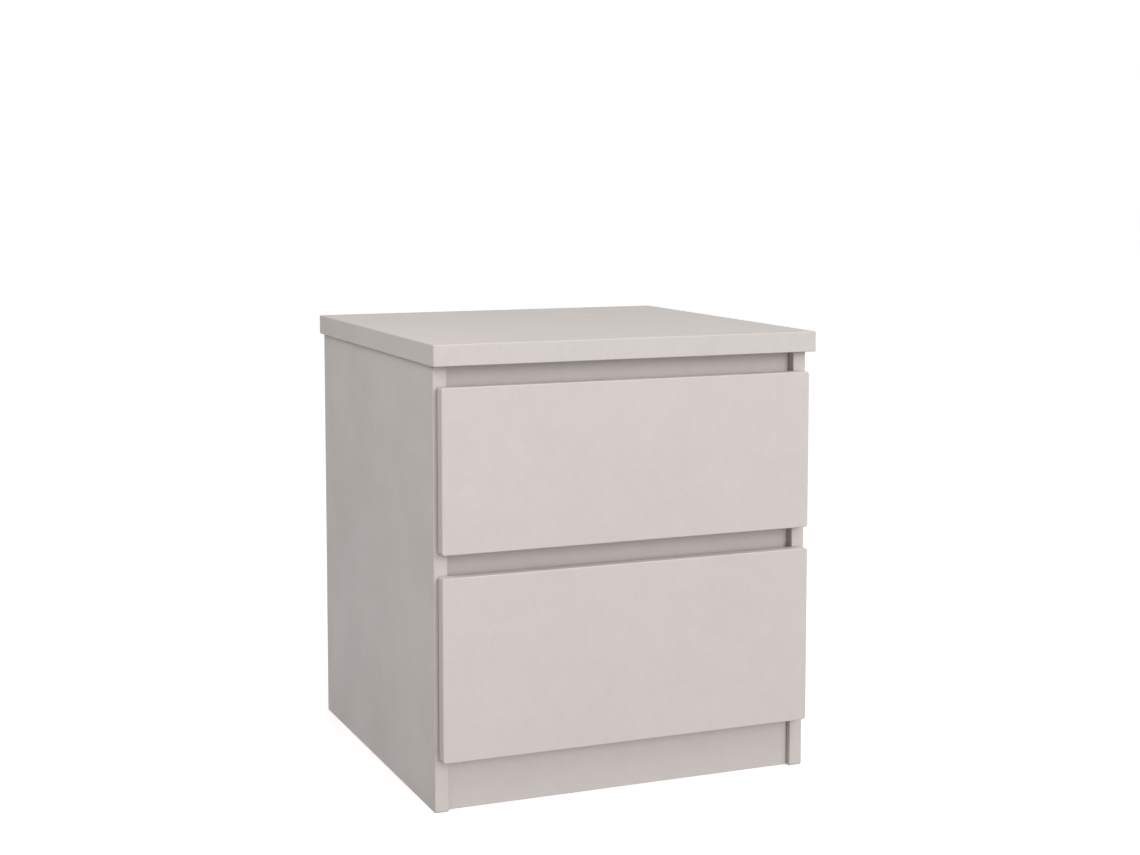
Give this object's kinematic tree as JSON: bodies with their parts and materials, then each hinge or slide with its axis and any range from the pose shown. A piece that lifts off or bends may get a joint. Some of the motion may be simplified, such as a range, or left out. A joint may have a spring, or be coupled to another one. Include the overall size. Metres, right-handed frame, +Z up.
{
  "type": "two-drawer nightstand",
  "caption": "Low bedside cabinet with a thick top and full-width drawers that pull out by finger gaps above their plain overlaid fronts, on roller runners.",
  "frame": {"origin": "on the floor, at the centre of the footprint of the top panel and closed drawers", "axes": "+X to the right as you face the drawers, -Y to the front, where the drawers come out, +Z up"},
  "size_m": [0.496, 0.491, 0.55],
  "materials": {
    "warm_grey_lacquer": "satin warm-grey foil on particleboard, the same on faces and banded edges",
    "drawer_box_foil": "satin light-grey foil on fibreboard",
    "drawer_bottom_sheet": "semi-matte painted fibreboard sheet",
    "back_panel_sheet": "semi-matte fibreboard sheet, painted on the face towards the drawers and raw on the other",
    "runner_enamel": "satin white epoxy coating on folded steel",
    "roller_nylon": "smooth natural nylon",
    "zinc_fittings": "bright zinc, lightly tumbled",
    "bumper_rubber": "matte translucent soft bumper"
  },
  "bodies": {
    "cabinet": {"top_panel": "warm_grey_lacquer", "left_side_panel": "warm_grey_lacquer", "right_side_panel": "warm_grey_lacquer", "upper_front_rail": "warm_grey_lacquer", "middle_front_rail": "warm_grey_lacquer", "plinth": "warm_grey_lacquer", "upper_rear_rail": "warm_grey_lacquer", "lower_rear_rail": "warm_grey_lacquer", "back_panel": "back_panel_sheet", "left_front_top_cam": "zinc_fittings", "left_rear_top_cam": "zinc_fittings", "right_front_top_cam": "zinc_fittings", "right_rear_top_cam": "zinc_fittings", "upper_left_cabinet_runner": "runner_enamel", "upper_left_cabinet_runner_roller_pin": "zinc_fittings", "upper_right_cabinet_runner": "runner_enamel", "upper_right_cabinet_runner_roller_pin": "zinc_fittings", "lower_left_cabinet_runner": "runner_enamel", "lower_left_cabinet_runner_roller_pin": "zinc_fittings", "lower_right_cabinet_runner": "runner_enamel", "lower_right_cabinet_runner_roller_pin": "zinc_fittings"},
    "upper_drawer": {"upper_drawer_front": "warm_grey_lacquer", "upper_drawer_left_side": "drawer_box_foil", "upper_drawer_right_side": "drawer_box_foil", "upper_drawer_back": "drawer_box_foil", "upper_drawer_bottom": "drawer_bottom_sheet", "upper_drawer_left_runner": "runner_enamel", "upper_drawer_left_runner_roller_pin": "zinc_fittings", "upper_drawer_left_cam": "zinc_fittings", "upper_drawer_left_cam_bolt": "zinc_fittings", "upper_drawer_left_bumper": "bumper_rubber", "upper_drawer_right_runner": "runner_enamel", "upper_drawer_right_runner_roller_pin": "zinc_fittings", "upper_drawer_right_cam": "zinc_fittings", "upper_drawer_right_cam_bolt": "zinc_fittings", "upper_drawer_right_bumper": "bumper_rubber"},
    "lower_drawer": {"lower_drawer_front": "warm_grey_lacquer", "lower_drawer_left_side": "drawer_box_foil", "lower_drawer_right_side": "drawer_box_foil", "lower_drawer_back": "drawer_box_foil", "lower_drawer_bottom": "drawer_bottom_sheet", "lower_drawer_left_runner": "runner_enamel", "lower_drawer_left_runner_roller_pin": "zinc_fittings", "lower_drawer_left_cam": "zinc_fittings", "lower_drawer_left_cam_bolt": "zinc_fittings", "lower_drawer_left_bumper": "bumper_rubber", "lower_drawer_right_runner": "runner_enamel", "lower_drawer_right_runner_roller_pin": "zinc_fittings", "lower_drawer_right_cam": "zinc_fittings", "lower_drawer_right_cam_bolt": "zinc_fittings", "lower_drawer_right_bumper": "bumper_rubber"},
    "upper_left_cabinet_roller": {"upper_left_cabinet_runner_roller": "roller_nylon"},
    "upper_left_drawer_roller": {"upper_drawer_left_runner_roller": "roller_nylon"},
    "upper_right_cabinet_roller": {"upper_right_cabinet_runner_roller": "roller_nylon"},
    "upper_right_drawer_roller": {"upper_drawer_right_runner_roller": "roller_nylon"},
    "lower_left_cabinet_roller": {"lower_left_cabinet_runner_roller": "roller_nylon"},
    "lower_left_drawer_roller": {"lower_drawer_left_runner_roller": "roller_nylon"},
    "lower_right_cabinet_roller": {"lower_right_cabinet_runner_roller": "roller_nylon"},
    "lower_right_drawer_roller": {"lower_drawer_right_runner_roller": "roller_nylon"}
  },
  "joints": [
    {"name": "upper_drawer_slide", "type": "slide", "parent": "cabinet", "child": "upper_drawer", "axis": [0, -1, 0], "range_m": [0, 0.3]},
    {"name": "lower_drawer_slide", "type": "slide", "parent": "cabinet", "child": "lower_drawer", "axis": [0, -1, 0], "range_m": [0, 0.3]},
    {"name": "upper_left_cabinet_roller_turn", "type": "hinge", "parent": "cabinet", "child": "upper_left_cabinet_roller", "pos_m": [-0.2209, -0.2125, 0.337], "axis": [1, 0, 0], "continuous": true},
    {"name": "upper_left_drawer_roller_turn", "type": "hinge", "parent": "upper_drawer", "child": "upper_left_drawer_roller", "pos_m": [-0.22, 0.1585, 0.3367], "axis": [1, 0, 0], "continuous": true},
    {"name": "upper_right_cabinet_roller_turn", "type": "hinge", "parent": "cabinet", "child": "upper_right_cabinet_roller", "pos_m": [0.2209, -0.2125, 0.337], "axis": [1, 0, 0], "continuous": true},
    {"name": "upper_right_drawer_roller_turn", "type": "hinge", "parent": "upper_drawer", "child": "upper_right_drawer_roller", "pos_m": [0.22, 0.1585, 0.3367], "axis": [1, 0, 0], "continuous": true},
    {"name": "lower_left_cabinet_roller_turn", "type": "hinge", "parent": "cabinet", "child": "lower_left_cabinet_roller", "pos_m": [-0.2209, -0.2125, 0.0935], "axis": [1, 0, 0], "continuous": true},
    {"name": "lower_left_drawer_roller_turn", "type": "hinge", "parent": "lower_drawer", "child": "lower_left_drawer_roller", "pos_m": [-0.22, 0.1585, 0.0932], "axis": [1, 0, 0], "continuous": true},
    {"name": "lower_right_cabinet_roller_turn", "type": "hinge", "parent": "cabinet", "child": "lower_right_cabinet_roller", "pos_m": [0.2209, -0.2125, 0.0935], "axis": [1, 0, 0], "continuous": true},
    {"name": "lower_right_drawer_roller_turn", "type": "hinge", "parent": "lower_drawer", "child": "lower_right_drawer_roller", "pos_m": [0.22, 0.1585, 0.0932], "axis": [1, 0, 0], "continuous": true}
  ],
  "couplings": [
    {"joint": "upper_left_cabinet_roller_turn", "follows": "upper_drawer_slide", "rad_per_m": 133.33},
    {"joint": "upper_left_drawer_roller_turn", "follows": "upper_drawer_slide", "rad_per_m": 133.33},
    {"joint": "upper_right_cabinet_roller_turn", "follows": "upper_drawer_slide", "rad_per_m": 133.33},
    {"joint": "upper_right_drawer_roller_turn", "follows": "upper_drawer_slide", "rad_per_m": 133.33},
    {"joint": "lower_left_cabinet_roller_turn", "follows": "lower_drawer_slide", "rad_per_m": 133.33},
    {"joint": "lower_left_drawer_roller_turn", "follows": "lower_drawer_slide", "rad_per_m": 133.33},
    {"joint": "lower_right_cabinet_roller_turn", "follows": "lower_drawer_slide", "rad_per_m": 133.33},
    {"joint": "lower_right_drawer_roller_turn", "follows": "lower_drawer_slide", "rad_per_m": 133.33}
  ]
}
